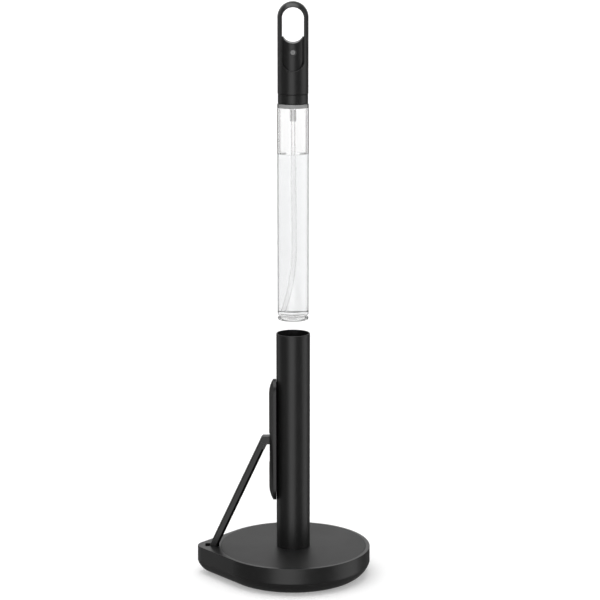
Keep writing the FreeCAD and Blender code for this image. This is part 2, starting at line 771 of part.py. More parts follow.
def make_knuckle():
    """The elbow: it plugs into the strut's end, turns level, and carries the eye for the pad's pin."""
    body = new_body("knuckle_elbow")
    half = arm_width / 2
    joint = outer_side + channel_depth + 0.05
    seat = strut_high + 0.1
    low, high = size(138.0), size(146.3)
    crown = ((-31.2, high), (-32.6, 144.6))
    side = new_sketch(body, "side", "XZ_Plane")
    outline(side, [
        (-26.0, low), (-26.0, high), *crown, on_side(outer_side, seat), on_side(joint, seat),
        on_side(joint, strut_high - 5.9), on_side(inner_side, strut_high - 5.9), (-27.1, low),
    ])
    extrude(body, side, half * 2, both_ways=True)
    soften(body, level_edges(body.Shape, crown), 1.2, name="crown")
    grip = half - channel_wall - 0.05
    tongue = on_arm(
        "knuckle_tongue",
        (outer_side + channel_wall + 0.05, -grip, strut_high - 5.9),
        (joint + 0.5, grip, strut_high + 1.0),
    )
    neck = block("knuckle_neck", (-26.5, -half, low), (pad_pin_x - 1.5, half, high))
    eye = rod("knuckle_eye", 2.3, half * 2, pad_pin_x, -half, pad_pin_z, "Y")
    whole = fuse_all("knuckle_whole", [body, tongue, neck, eye])
    pin_hole = rod("knuckle_pin_hole", pad_pin_radius + 0.05, 20, pad_pin_x, -10, pad_pin_z, "Y")
    cut_all("arm_knuckle", whole, [pin_hole])


def level_edges(shape, places):
    """Edges along Y that pass through the given (x, z) places."""
    names = []
    for index, edge in enumerate(shape.Edges, start=1):
        a = edge.Vertexes[0].Point
        b = edge.Vertexes[-1].Point
        if abs(a.y - b.y) < 1 or abs(a.x - b.x) > 1e-4:
            continue
        for x, z in places:
            if abs(a.x - size(x).value) < 0.01 and abs(a.z - size(z).value) < 0.01:
                names.append(f"Edge{index}")
    return names


# ---- pad ----
def stadium(name, half, low, high, x_low, x_high):
    """An upright oval plate: straight sides and round ends, from one X to another."""
    length = x_high - x_low
    ends = [
        rod(f"{name}_end{i}", half, length, x_low, 0, z, "X")
        for i, z in enumerate((low + half, high - half))
    ]
    middle = block(f"{name}_middle", (x_low, -half, low + half), (x_high, half, high - half))
    return fuse_all(name, ends + [middle])


def dome(name, inset):
    """The capsule whose crown shapes the pad: a long cylinder with ball ends."""
    rise = pad_rim_x - pad_back_x
    crown = (pad_half * pad_half + rise * rise) / (rise * 2)
    centre = pad_back_x + crown
    reach = crown - inset
    low, high = pad_low + pad_half, pad_high - pad_half
    pieces = [rod(f"{name}_middle", reach, high - low, centre, 0, low)]
    for index, z in enumerate((low, high)):
        ball = doc.addObject("Part::Sphere", f"{name}_ball{index}")
        bind(ball, "Radius", reach)
        place(ball, centre, 0, z)
        pieces.append(ball)
    return fuse_all(name, pieces)


def make_pad():
    front = pad_face - 0.9
    solid = combine(
        "Common", "pad_solid",
        stadium("pad_plan", pad_half, pad_low, pad_high, pad_back_x - 1, pad_face),
        dome("pad_dome", 0),
    )
    edge = round_edges("pad_rounded", solid, 0.5, rim_of_dome)
    inner = combine(
        "Common", "pad_hollow",
        stadium(
            "pad_hollow_plan", pad_half - pad_wall, pad_low + pad_wall, pad_high - pad_wall,
            pad_back_x - 1, pad_face + 1,
        ),
        dome("pad_hollow_dome", pad_wall),
    )
    slot_low, slot_high, slot_side = size(118.0), size(150.0), arm_width / 2 + 0.55
    bosses = [
        block(f"pad_boss{i}", (-24.0, y, pad_pin_z - 3.6), (front - 1.0, y + 3.0, pad_pin_z + 3.6))
        for i, y in enumerate((slot_side, -slot_side - 3.0))
    ]
    held = [combine("Common", f"pad_boss_in{i}", boss, solid) for i, boss in enumerate(bosses)]
    skin = combine("Cut", "pad_skin", edge, inner)
    whole = fuse_all("pad_whole", [skin] + held)
    slot = block("pad_slot", (-30.0, -slot_side, slot_low), (front - 0.9, slot_side, slot_high))
    hole = rod("pad_pin_hole", pad_pin_radius + 0.02, 15.6, pad_pin_x, -7.8, pad_pin_z, "Y")
    cut_all("pad_shell", whole, [slot, hole])

    plate = stadium(
        "pad_back_plate", pad_half - pad_wall - gap, pad_low + pad_wall + gap,
        pad_high - pad_wall - gap, front - 0.8, front,
    )
    window = block("pad_back_window", (-25.0, -6.0, 137.0), (-10.0, 6.0, 148.2))
    cut_all("pad_back", plate, [window])
    liner = stadium(
        "pad_liner", pad_half - pad_wall - gap, pad_low + pad_wall + gap,
        pad_high - pad_wall - gap, front + 0.02, pad_face + 0.05,
    )
    liner.Label = "pad_liner"
    pin = rod("pad_pin", pad_pin_radius, 15.2, pad_pin_x, -7.6, pad_pin_z, "Y")
    pin.Label = "pad_pin"


def rim_of_dome(edge):
    """The sharp rim where the pad's dome meets its side wall."""
    box = edge.BoundBox
    near = abs(box.XMin - pad_rim_x.value) < 0.02 and abs(box.XMax - pad_rim_x.value) < 0.02
    return near


# ---- bottle ----
def make_bottle():
    inner = bottle_radius - bottle_wall
    body = turned("bottle_body", [
        (inner, bottle_skirt), (bottle_radius, bottle_skirt), (bottle_radius, shoulder_high),
        (neck_radius, shoulder_high), (neck_radius, neck_high), (neck_bore, neck_high),
        (neck_bore, shoulder_high - 2.0), (inner, shoulder_high - 4.0),
    ], rounds=[
        (bottle_radius, bottle_skirt, 1.4),
        (bottle_radius, shoulder_high, 0.6),
        (neck_radius, shoulder_high, 0.5),
        (neck_radius, neck_high, 0.3),
    ])
    thread = new_sketch(body, "thread", "XZ_Plane")
    low = shoulder_high + 1.6
    outline(thread, [
        (neck_radius - 0.3, low), (neck_radius + 0.7, low + 0.5),
        (neck_radius + 0.7, low + 0.9), (neck_radius - 0.3, low + 1.4),
    ])
    helix = feature(body, "AdditiveHelix", "flight", thread)
    helix.ReferenceAxis = (thread, ["V_Axis"])
    helix.Mode = "pitch-turns-angle"
    helix.Pitch = 2.6
    helix.Turns = 1.4
    settle(body, helix, adds=True)

    flange = bottle_radius - 0.15
    waist = bottle_radius - 2.25
    turned("bottle_base", [
        (0, bottle_low + 1.6), (11.0, bottle_low + 1.6), (12.2, bottle_low), (flange, bottle_low),
        (flange, bottle_low + 2.3), (waist, bottle_low + 2.9),
        (waist, bottle_skirt - 0.05), (inner - gap, bottle_skirt - 0.05),
        (inner - gap, bottle_skirt + 2.1), (inner - 1.6, bottle_skirt + 2.1),
        (inner - 2.6, bottle_skirt + 1.0), (0, bottle_skirt + 1.0),
    ], rounds=[
        (flange, bottle_low, 0.8),
        (flange, bottle_low + 2.3, 0.6),
    ])


# ---- pump core ----
flange_low = neck_high + 0.85
flange_high = flange_low + 1.4
barrel_low = size(484.0)
barrel_high = size(510.0)
barrel_floor = size(486.4)
stop_high = size(481.6)
ball_seat = size(1.3)
ball_radius = size(1.75)


def make_pump_core():
    tube("neck_gasket", neck_bore + 0.1, neck_radius - 0.1, neck_high + 0.02, flange_low - 0.02)
    barrel = barrel_bore + 1.3
    grip = tube_radius + 0.15
    spigot_low = stop_high - 11.1
    turned("pump_housing", [
        (grip, spigot_low), (spigot_radius, spigot_low),
        (spigot_radius, barrel_low), (barrel, barrel_low), (barrel, flange_low),
        (neck_radius, flange_low), (neck_radius, flange_high), (barrel, flange_high),
        (barrel, barrel_high), (barrel_bore, barrel_high), (barrel_bore, barrel_floor),
        (ball_seat, barrel_floor), (ball_seat, stop_high), (grip, stop_high),
    ], rounds=[(spigot_radius, spigot_low, 0.3), (barrel, barrel_low, 0.8)])
    stem_hole = stem_radius + 0.12
    cap, cap_high = barrel + 1.1, barrel_high + 1.6
    turned("housing_cap", [
        (stem_hole, barrel_high + gap), (barrel + gap, barrel_high + gap),
        (barrel + gap, barrel_high - 4.0), (cap, barrel_high - 4.0),
        (cap, cap_high), (stem_hole, cap_high),
    ], rounds=[(cap, cap_high, 0.5)])
    ball = doc.addObject("Part::Sphere", "valve_ball")
    ball.Label = "valve_ball"
    bind(ball, "Radius", ball_radius)
    lift = root(ball_radius * ball_radius - ball_seat * ball_seat)
    place(ball, 0, 0, barrel_floor + lift + 0.03)


def make_dip_tube():
    """Straight from the spigot with a slight lean, then one long bend to the corner of the base."""
    body = new_body("dip_tube")
    high = stop_high.value - 0.1
    bend = FreeCAD.Vector(0.9, 345.0, 0)
    start = FreeCAD.Vector(0, high, 0)
    end = FreeCAD.Vector(-7.4, 277.4, 0)
    heading = (bend - start).normalize()
    sideways = FreeCAD.Vector(heading.y, -heading.x, 0)
    span = end - bend
    radius = span.Length ** 2 / (2 * span.dot(sideways))
    centre = bend + sideways * radius
    middle = centre + ((bend - centre) + (end - centre)).normalize() * abs(radius)
    path = new_sketch(body, "path", "XZ_Plane")
    line = path.addGeometry(Part.LineSegment(start, bend), False)
    arc = path.addGeometry(Part.Arc(bend, middle, end), False)
    path.addConstraint(Sketcher.Constraint("Block", line))
    path.addConstraint(Sketcher.Constraint("Block", arc))
    section = new_sketch(body, "section", offset=high)
    ring(section, tube_radius)
    ring(section, tube_bore)
    pipe = feature(body, "AdditivePipe", "pipe", section)
    pipe.Spine = path
    settle(body, pipe, adds=True)
    length = (bend - start).Length + abs(radius) * (end - centre).getAngle(bend - centre)
    section_area = math.pi * (tube_radius.value**2 - tube_bore.value**2)
    if abs(pipe.Shape.Volume / (length * section_area) - 1) > 0.02:
        raise RuntimeError("the dip tube's volume isn't its section times its length")


def make_pump_spring():
    """The return spring between the cylinder's floor and the piston."""
    wire, coil_radius, length, turns = 0.4, 4.1, 11.4, 5
    low = barrel_floor.value + wire + 0.02
    pitch = (length - 2 * wire) / turns
    helix = Part.makeLongHelix(pitch, pitch * turns, coil_radius)
    circle = Part.makeCircle(wire, FreeCAD.Vector(coil_radius, 0, 0), FreeCAD.Vector(0, 1, 0))
    shape = Part.Wire(helix.Edges).makePipeShell([Part.Wire([circle])], True, True)
    made = doc.addObject("Part::Feature", "pump_spring")
    made.Shape = shape
    made.Label = "pump_spring"
    made.Placement = FreeCAD.Placement(FreeCAD.Vector(0, 0, low), FreeCAD.Rotation())


# ---- pump head ----
spigot_ring = head_bore - gap
guide_reach = loop_half + 1.3
guide_half = size(2.0)
guide_low = size(524.0)
guide_high = saddle_low + 6.0


def make_collar():
    turned("closure_collar", [
        (neck_radius + 1.0, collar_low), (collar_radius, collar_low), (collar_radius, collar_high),
        (spigot_ring, collar_high), (spigot_ring, collar_high + 4.1), (8.2, collar_high + 4.1),
        (8.2, flange_high + 0.2), (neck_radius + 1.0, flange_high + 0.2),
    ], rounds=[(collar_radius, collar_low, 0.4), (collar_radius, collar_high, 0.25)])


def make_head_shell():
    """A round column with a ball-shaped crown, cut through by one long round-ended slot."""
    crown_z = head_high - head_radius
    column = rod("head_column", head_radius, crown_z - head_low, 0, 0, head_low)
    crown = doc.addObject("Part::Sphere", "head_crown")
    bind(crown, "Radius", head_radius)
    place(crown, 0, 0, crown_z)
    body = fuse_all("head_blank", [column, crown])
    slot_low = window_low + loop_half
    slot_high = crown_z - 0.9
    reach = head_radius * 4
    ends = [
        rod(f"head_slot{i}", loop_half, reach, 0, head_radius * -2, z, "Y")
        for i, z in enumerate((slot_low, slot_high))
    ]
    middle = block(
        "head_slot_middle",
        (-loop_half, head_radius * -2, slot_low),
        (loop_half, head_radius * 2, slot_high),
    )
    slot = fuse_all("head_slot", ends + [middle])
    bore = rod("head_bore_tool", head_bore, 36.0, 0, 0, head_low - 0.1)
    opened = combine("Cut", "head_opened", body, slot)
    eased = round_edges("head_eased", opened, 0.45, loop_edge)
    track = block(
        "head_guide_track",
        (-guide_reach - 0.2, -guide_half - 0.2, head_low),
        (guide_reach + 0.2, guide_half + 0.2, guide_high + 1.0),
    )
    bored = cut_all("head_bored", eased, [bore, track])
    low = doc.addObject("Part::Chamfer", "head_shell")
    low.Base = bored
    rim = [
        index for index, edge in enumerate(bored.Shape.Edges, start=1)
        if is_circle(edge, head_radius.value, head_low.value)
    ]
    low.Edges = [(index, 0.5, 0.5) for index in rim]
    low.Label = "head_shell"
    doc.recompute()


def is_circle(edge, radius, height):
    if edge.Degenerated or not isinstance(edge.Curve, Part.Circle):
        return False
    curve = edge.Curve
    return abs(curve.Radius - radius) < 1e-4 and abs(curve.Center.z - height) < 1e-4


def loop_edge(edge):
    """The front and back rims of the long slot."""
    if edge.Degenerated:
        return False
    middle = edge.valueAt((edge.FirstParameter + edge.LastParameter) / 2)
    above = max(0.0, middle.z - head_high.value + head_radius.value)
    out = math.sqrt(middle.x**2 + middle.y**2 + above**2)
    box = edge.BoundBox
    in_slot = box.XMax < loop_half.value + 0.01 and box.ZLength > 1
    return abs(out - head_radius.value) < 0.02 and in_slot


def make_actuator():
    """The button: it fills the lower part of the slot, and its saddle is the floor of the loop. A
    guide on each side runs in a track in the head."""
    low = size(509.0)
    top = saddle_low + 7.0
    column = rod("actuator_column", actuator_radius, top - low, 0, 0, low)
    slab = block("actuator_slab", (-actuator_half, -20.0, low - 1), (actuator_half, 20.0, top + 1))
    blank = combine("Common", "actuator_blank", column, slab)
    saddle = rod("actuator_saddle", loop_half, 60.0, 0, -30.0, saddle_low + loop_half, "Y")
    seated = combine("Cut", "actuator_seated", blank, saddle)
    eased = round_edges("actuator_eased", seated, 0.9, saddle_edge)
    guides = [
        block(name, (low_x, -guide_half, guide_low), (high_x, guide_half, guide_high))
        for name, low_x, high_x in (
            ("actuator_guide_left", -guide_reach, -actuator_half + 0.5),
            ("actuator_guide_right", actuator_half - 0.5, guide_reach),
        )
    ]
    guided = fuse_all("actuator_guided", [eased] + guides)
    tools = [
        rod("actuator_hollow", 8.6, 10.6, 0, 0, low - 0.1),
        rod("actuator_socket", stem_radius + gap, 5.0, 0, 0, low + 10.0),
        rod("actuator_channel", 1.1, nozzle_z + 1.1 - low - 10.0, 0, 0, low + 10.0),
        rod("actuator_passage", 1.1, 9.0, 0, -9.0, nozzle_z, "Y"),
        rod("actuator_nozzle_bore", 2.35, 5.0, 0, -13.0, nozzle_z, "Y"),
        rod("actuator_nozzle_dish", 3.74, 3.0, 0, -15.9, nozzle_z, "Y"),
    ]
    cut_all("actuator", guided, tools)

    plug = rod("nozzle_plug", 2.3, 4.8, 0, -12.95, nozzle_z, "Y")
    orifice = rod("nozzle_orifice", 0.35, 10.0, 0, -14.0, nozzle_z, "Y")
    swirl = rod("nozzle_swirl", 1.2, 3.5, 0, -11.6, nozzle_z, "Y")
    cut_all("nozzle_insert", plug, [orifice, swirl])

    tube("pump_stem", 1.1, stem_radius, 498.6, 523.8)
    lip, groove_floor = barrel_bore - 0.05, barrel_bore - 0.9
    turned("piston", [
        (stem_radius + gap, 498.4), (lip, 498.4), (lip, 499.6), (groove_floor, 500.4),
        (groove_floor, 501.6), (lip, 502.4), (lip, 503.4), (stem_radius + gap, 503.4),
    ])


def saddle_edge(edge):
    """The front and back rims of the saddle."""
    box = edge.BoundBox
    middle = edge.valueAt((edge.FirstParameter + edge.LastParameter) / 2)
    curved = abs(math.hypot(middle.x, middle.y) - actuator_radius.value) < 0.02
    return curved and box.ZMin > saddle_low.value - 0.5 and box.ZLength > 1 and box.XLength > 5


NODES = (
    "base_shell", "base_top_plate", "bottom_cover", "foot_pad", "base_weight", "cover_screws",
    "post_tube", "post_plug", "post_bolt", "post_washer", "bottle_seat",
    "pivot_bracket", "bracket_screws", "arm_pin", "pin_clips", "arm_spring",
    "arm_strut", "arm_core", "arm_knuckle", "arm_bush",
    "pad_shell", "pad_back", "pad_liner", "pad_pin",
    "bottle_body", "bottle_base",
    "neck_gasket", "pump_housing", "housing_cap", "dip_tube", "valve_ball", "pump_spring",
    "closure_collar", "head_shell",
    "actuator", "nozzle_insert", "pump_stem", "piston",
)


def export():
    doc.recompute()
    failed = [o.Name for o in doc.Objects if "Invalid" in o.State or "Error" in o.State]
    if failed:
        raise RuntimeError(f"failed objects: {failed}")
    for label in NODES:
        found = [o for o in doc.getObjectsByLabel(label) if hasattr(o, "Shape")]
        if len(found) != 1:
            raise RuntimeError(f"{label} names {len(found)} objects")
        shape = found[0].Shape
        if shape.isNull() or not shape.isValid() or not shape.Solids:
            raise RuntimeError(f"{label} has no valid solid")
        shape.exportStep(f"parts/{label}.step")


make_base_shell()
make_bottom_cover()
make_weight()
make_base_fittings()
make_post()
make_pivot()
make_arm()
make_knuckle()
make_pad()
make_bottle()
make_pump_core()
make_dip_tube()
make_pump_spring()
make_collar()
make_head_shell()
make_actuator()
export()
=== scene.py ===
import json
import math

import bpy
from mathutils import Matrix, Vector

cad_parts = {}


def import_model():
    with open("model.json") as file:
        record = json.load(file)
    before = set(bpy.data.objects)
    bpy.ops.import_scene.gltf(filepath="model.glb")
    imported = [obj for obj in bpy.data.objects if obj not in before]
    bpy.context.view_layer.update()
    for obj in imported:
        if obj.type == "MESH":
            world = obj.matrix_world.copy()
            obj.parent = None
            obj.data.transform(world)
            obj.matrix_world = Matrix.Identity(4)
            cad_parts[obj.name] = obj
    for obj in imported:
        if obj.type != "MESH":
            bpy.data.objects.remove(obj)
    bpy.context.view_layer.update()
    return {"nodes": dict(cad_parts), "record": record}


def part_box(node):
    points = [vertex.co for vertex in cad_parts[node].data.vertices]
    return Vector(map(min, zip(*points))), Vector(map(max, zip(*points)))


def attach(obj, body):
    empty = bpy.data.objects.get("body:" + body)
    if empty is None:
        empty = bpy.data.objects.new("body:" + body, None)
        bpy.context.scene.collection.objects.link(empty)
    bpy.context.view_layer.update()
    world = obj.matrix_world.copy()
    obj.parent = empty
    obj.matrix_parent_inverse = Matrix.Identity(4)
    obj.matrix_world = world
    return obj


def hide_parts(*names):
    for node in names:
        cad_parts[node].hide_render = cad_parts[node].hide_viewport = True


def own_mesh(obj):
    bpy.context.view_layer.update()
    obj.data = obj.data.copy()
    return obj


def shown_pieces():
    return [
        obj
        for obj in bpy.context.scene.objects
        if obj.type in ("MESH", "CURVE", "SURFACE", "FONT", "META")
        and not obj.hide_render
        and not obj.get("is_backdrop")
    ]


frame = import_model()
nodes = frame["nodes"]
scene = bpy.context.scene
MM = 0.001

# The bottle's wall, how far the liquid's mesh reaches into it, and the liquid's rim against it.
WALL = 2.0 * MM
WET = 0.02 * MM
MENISCUS = 0.5 * MM
MENISCUS_WIDTH = 2.2 * MM
LIQUID_IOR = 1.33
PLASTIC_IOR = 1.5
# The liquid's surface, and the lowest height of the ring under the closure, which is given a frosting and
# painted grey.
LIQUID_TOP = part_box("bottle_body")[1].z - 58.5 * MM
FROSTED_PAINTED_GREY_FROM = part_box("closure_collar")[0].z - 4.2 * MM

ROUND_STEPS = 96
SHARP_CORNER = math.radians(40)
CAMERA_PLACE = (0.007, -2.0, 0.6808)
CAMERA_PITCH = math.radians(-11.10)
CAMERA_LENS = 120.4


# ---- node helpers ----
class Graph:
    """The node tree of one material, with short calls for the nodes that the materials share."""

    def __init__(self, name):
        self.material = bpy.data.materials.new(name)
        self.material.use_nodes = True
        self.tree = self.material.node_tree
        self.shader = self.tree.nodes["Principled BSDF"]
        coordinates = self.tree.nodes.new("ShaderNodeTexCoord")
        self.place = coordinates.outputs["Object"]

    def link(self, source, target):
        self.tree.links.new(source, target)

    def set(self, **values):
        """Plain values on the shader's own sockets, such as Roughness=0.4."""
        for name, value in values.items():
            self.shader.inputs[name.replace("_", " ")].default_value = value

    def math(self, kind, first, second=0.0):
        node = self.tree.nodes.new("ShaderNodeMath")
        node.operation = kind
        for socket, value in zip(node.inputs, (first, second)):
            if isinstance(value, (int, float)):
                socket.default_value = value
            else:
                self.link(value, socket)
        return node.outputs[0]

    def spread(self, value, low, high, start=0.0, stop=1.0):
        """Maps start..stop to low..high."""
        node = self.tree.nodes.new("ShaderNodeMapRange")
        node.inputs["From Min"].default_value = start
        node.inputs["From Max"].default_value = stop
        node.inputs["To Min"].default_value = low
        node.inputs["To Max"].default_value = high
        self.link(value, node.inputs["Value"])
        return node.outputs["Result"]

    def edge(self, start, stop):
        """0 where the surface is seen squarely and 1 at its outline, for the painted shade along the outlines
        of clear pieces.
        """
        node = self.tree.nodes.new("ShaderNodeLayerWeight")
        return self.spread(node.outputs["Facing"], 0.0, 1.0, start, stop)

    def stretched(self, scale):
        """The place in the object, scaled along X, Y and Z."""
        node = self.tree.nodes.new("ShaderNodeMapping")
        node.inputs["Scale"].default_value = scale
        self.link(self.place, node.inputs["Vector"])
        return node.outputs["Vector"]

    def noise(self, size, detail=2.0, place=None, distortion=0.0):
        """Noise whose blotches are about size metres across."""
        node = self.tree.nodes.new("ShaderNodeTexNoise")
        node.inputs["Scale"].default_value = 1 / size
        node.inputs["Detail"].default_value = detail
        node.inputs["Distortion"].default_value = distortion
        self.link(place or self.place, node.inputs["Vector"])
        return node.outputs["Fac"]

    def cells(self, size):
        node = self.tree.nodes.new("ShaderNodeTexVoronoi")
        node.inputs["Scale"].default_value = 1 / size
        self.link(self.place, node.inputs["Vector"])
        return node.outputs["Distance"]

    def radius(self):
        """Distance from the Z axis."""
        split = self.tree.nodes.new("ShaderNodeSeparateXYZ")
        self.link(self.place, split.inputs[0])
        across = self.math("MULTIPLY", split.outputs["X"], split.outputs["X"])
        along = self.math("MULTIPLY", split.outputs["Y"], split.outputs["Y"])
        return self.math("SQRT", self.math("ADD", across, along))

    def height(self):
        split = self.tree.nodes.new("ShaderNodeSeparateXYZ")
        self.link(self.place, split.inputs[0])
        return split.outputs["Z"]

    def blend(self, share, first, second):
        """A colour between two, by share."""
        node = self.tree.nodes.new("ShaderNodeMix")
        node.data_type = "RGBA"
        node.inputs[6].default_value = (*first, 1)
        node.inputs[7].default_value = (*second, 1)
        self.link(share, node.inputs[0])
        return node.outputs[2]

    def colour(self, source):
        self.link(source, self.shader.inputs["Base Color"])

    def roughness(self, source):
        self.link(source, self.shader.inputs["Roughness"])

    def bump(self, *layers):
        """Relief from (height, depth in metres) layers, one on top of the other."""
        normal = None
        for height, depth in layers:
            node = self.tree.nodes.new("ShaderNodeBump")
            node.inputs["Strength"].default_value = 1.0
            node.inputs["Distance"].default_value = depth
            self.link(height, node.inputs["Height"])
            if normal is not None:
                self.link(normal, node.inputs["Normal"])
            normal = node.outputs["Normal"]
        self.link(normal, self.shader.inputs["Normal"])


def grey(level):
    return (level, level, level)


# ---- materials ----
def powder_coat(name, roughness):
    """Satin black powder coat on steel: a faint orange peel under a fine grain."""
    g = Graph(name)
    peel = g.noise(1.4 * MM, detail=1.0)
    grain = g.noise(0.22 * MM, detail=3.0)
    patches = g.noise(35 * MM, detail=3.0)
    g.colour(g.blend(patches, grey(0.0050), grey(0.0070)))
    g.roughness(g.spread(g.math("ADD", g.math("MULTIPLY", grain, 0.4), patches), roughness, roughness + 0.08))
    g.set(IOR=1.5)
    g.bump((peel, 0.006 * MM), (grain, 0.002 * MM))
    return g.material


def moulded_plastic(name, level, roughness, texture_depth):
    """Black injection moulding with a fine spark-eroded texture."""
    g = Graph(name)
    pits = g.cells(0.35 * MM)
    grain = g.noise(0.18 * MM, detail=3.0)
    patches = g.noise(28 * MM, detail=2.0)
    g.colour(g.blend(patches, grey(level * 0.85), grey(level * 1.15)))
    g.roughness(g.spread(patches, roughness - 0.03, roughness + 0.05))
    g.set(IOR=1.5)
    g.bump((pits, texture_depth), (grain, texture_depth * 0.6))
    return g.material


def painted_shade_core_plastic():
    """The arm's core: matt black moulding that takes almost no highlight, painted darker than the other black
    parts as the shade of the arm's underside.
    """
    g = Graph("matt_core_plastic_painted_shade")
    grain = g.noise(0.25 * MM, detail=3.0)
    patches = g.noise(20 * MM, detail=2.0)
    # Painted shade: a colour far darker than the other black plastics, so the core reads as the arm's shaded
    # underside.
    g.colour(g.blend(patches, grey(0.0015), grey(0.0030)))
    g.roughness(g.spread(patches, 0.55, 0.68))
    g.set(Specular_IOR_Level=0.08)
    g.bump((grain, 0.006 * MM))
    return g.material


def rubber():
    g = Graph("black_rubber")
    grain = g.noise(0.3 * MM, detail=4.0)
    bloom = g.noise(12 * MM, detail=3.0)
    g.colour(g.blend(bloom, grey(0.018), grey(0.032)))
    g.roughness(g.spread(bloom, 0.68, 0.85))
    g.set(IOR=1.5)
    g.bump((grain, 0.02 * MM))
    return g.material


def cast_iron():
    g = Graph("cast_iron")
    lumps = g.noise(2.2 * MM, detail=5.0)
    stains = g.noise(18 * MM, detail=4.0)
    g.colour(g.blend(stains, (0.09, 0.088, 0.085), (0.17, 0.155, 0.14)))
    g.roughness(g.spread(lumps, 0.5, 0.8))
    g.set(Metallic=0.85)
    g.bump((lumps, 0.15 * MM))
    return g.material


def drawn_steel(name, base, roughness, line):
    """Bright steel with fine lines along Z and a little colour variation."""
    g = Graph(name)
    lines = g.noise(line, detail=2.0, place=g.stretched((1, 1, 0.05)))
    tone = g.noise(6 * MM, detail=2.0)
    g.colour(g.blend(tone, tuple(c * 0.82 for c in base), base))
    g.roughness(g.spread(lines, roughness - 0.06, roughness + 0.08))
    g.set(Metallic=1.0)
    g.bump((lines, 0.004 * MM))
    return g.material


def turned_aluminium():
    """Aluminium faced on a lathe: rings about the post's axis."""
    g = Graph("turned_aluminium")
    rings = g.math("SINE", g.math("MULTIPLY", g.radius(), 2 * math.pi / (0.25 * MM)))
    tone = g.noise(5 * MM, detail=2.0)
    g.colour(g.blend(tone, (0.62, 0.63, 0.65), (0.78, 0.79, 0.80)))
    g.roughness(g.spread(tone, 0.28, 0.4))
    g.set(Metallic=1.0)
    g.bump((rings, 0.003 * MM))
    return g.material


def clear_plastic():
    """The bottle: clear moulded plastic. Its wall gets painted shade along its outline, standing in for
    the dark rim that refraction in the wall gives, less so against the liquid; the thick ring under the
    closure is given a frosting and painted grey."""
    g = Graph("clear_bottle_plastic")
    waves = g.noise(14 * MM, detail=0.0, place=g.stretched((1, 1, 0.25)))
    under = g.math("LESS_THAN", g.height(), LIQUID_TOP)
    # Painted grey: above this height the colour drops to 0.30, with less transmission and some roughness,
    # standing in for the grey that reflections inside the thick neck show.
    frosted_painted_grey = g.math("GREATER_THAN", g.height(), FROSTED_PAINTED_GREY_FROM)
    # Painted shade: the wall's colour darkens along its outline, more where the wall is dry above the liquid.
    edge = g.math("MULTIPLY", g.edge(0.57, 0.67), g.spread(under, 0.90, 0.46))
    clear = g.math("SUBTRACT", 0.95, edge)
    g.colour(g.math("MULTIPLY", clear, g.spread(frosted_painted_grey, 1.0, 0.30)))
    g.link(g.spread(frosted_painted_grey, 1.0, 0.35), g.shader.inputs["Transmission Weight"])
    g.roughness(g.spread(frosted_painted_grey, 0.0, 0.45))
    g.set(IOR=PLASTIC_IOR)
    g.bump((waves, 0.01 * MM))
    return g.material


def hazy_plastic():
    """The bottle's foot: the same clear plastic in a thick moulding, a little hazy and grey, with painted
    shade along its outline.
    """
    g = Graph("hazy_foot_plastic")
    haze = g.noise(5 * MM, detail=2.0)
    # Painted shade: the foot's colour darkens along its outline.
    edge = g.math("MULTIPLY", g.edge(0.45, 0.75), 0.45)
    g.colour(g.math("SUBTRACT", g.spread(haze, 0.80, 0.86), edge))
    g.roughness(g.spread(haze, 0.16, 0.26))
    g.set(Transmission_Weight=1.0, IOR=1.3)
    return g.material


def tube_plastic():
    """The dip tube: clear, and partly in the liquid, where it bends light only as much as its index
    differs from the liquid's. Its outline gets painted shade, much weaker where it stands in the liquid."""
    g = Graph("dip_tube_plastic")
    under = g.math("LESS_THAN", g.height(), LIQUID_TOP)
    haze = g.noise(3 * MM, detail=2.0)
    # Painted shade: the tube's colour darkens along its outline, far less below the liquid's surface.
    edge = g.math("MULTIPLY", g.edge(0.20, 0.60), g.spread(under, 0.80, 0.14))
    g.link(g.spread(under, PLASTIC_IOR, PLASTIC_IOR / LIQUID_IOR), g.shader.inputs["IOR"])
    g.colour(g.math("SUBTRACT", 0.99, edge))
    g.roughness(g.spread(haze, 0.0, 0.04))
    g.set(Transmission_Weight=1.0)
    return g.material


def pump_plastic():
    """Natural polypropylene: waxy and clear in thin walls, with painted shade along their outlines."""
    g = Graph("natural_pump_plastic")
    cloud = g.noise(4 * MM, detail=2.0)
    # Painted shade: the colour darkens along the outline.
    edge = g.math("MULTIPLY", g.edge(0.20, 0.60), 0.75)
    g.colour(g.math("SUBTRACT", g.spread(cloud, 0.93, 0.97), edge))
    g.roughness(g.spread(cloud, 0.02, 0.08))
    g.set(Transmission_Weight=0.97, IOR=1.12)
    return g.material


def nozzle_plastic():
    g = Graph("grey_nozzle_plastic")
    tone = g.noise(0.8 * MM, detail=3.0)
    g.colour(g.blend(tone, grey(0.11), grey(0.15)))
    g.roughness(g.spread(tone, 0.35, 0.5))
    g.bump((tone, 0.01 * MM))
    return g.material


def liquid_material():
    """Clear cleaning liquid with a trace of cool grey, and painted shade that turns it greyer towards the
    bottom.
    """
    g = Graph("cleaning_liquid")
    drift = g.noise(30 * MM, detail=1.0)
    low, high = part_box("bottle_base")[1].z, LIQUID_TOP
    # Painted shade: the colour turns greyer towards the bottom by height, plus a slight random drift.
    depth = g.spread(g.height(), 0.96, 0.0, low, high)
    painted_low_shade_and_drift = g.math("ADD", depth, g.math("MULTIPLY", drift, 0.04))
    g.colour(g.blend(painted_low_shade_and_drift, (0.965, 0.975, 0.98), (0.85, 0.855, 0.86)))
    g.set(Roughness=0.0, IOR=LIQUID_IOR, Transmission_Weight=1.0)
    return g.material


def dress(node, material):
    """Puts the material on every slot of a CAD node."""
    for slot in nodes[node].material_slots:
        slot.material = material


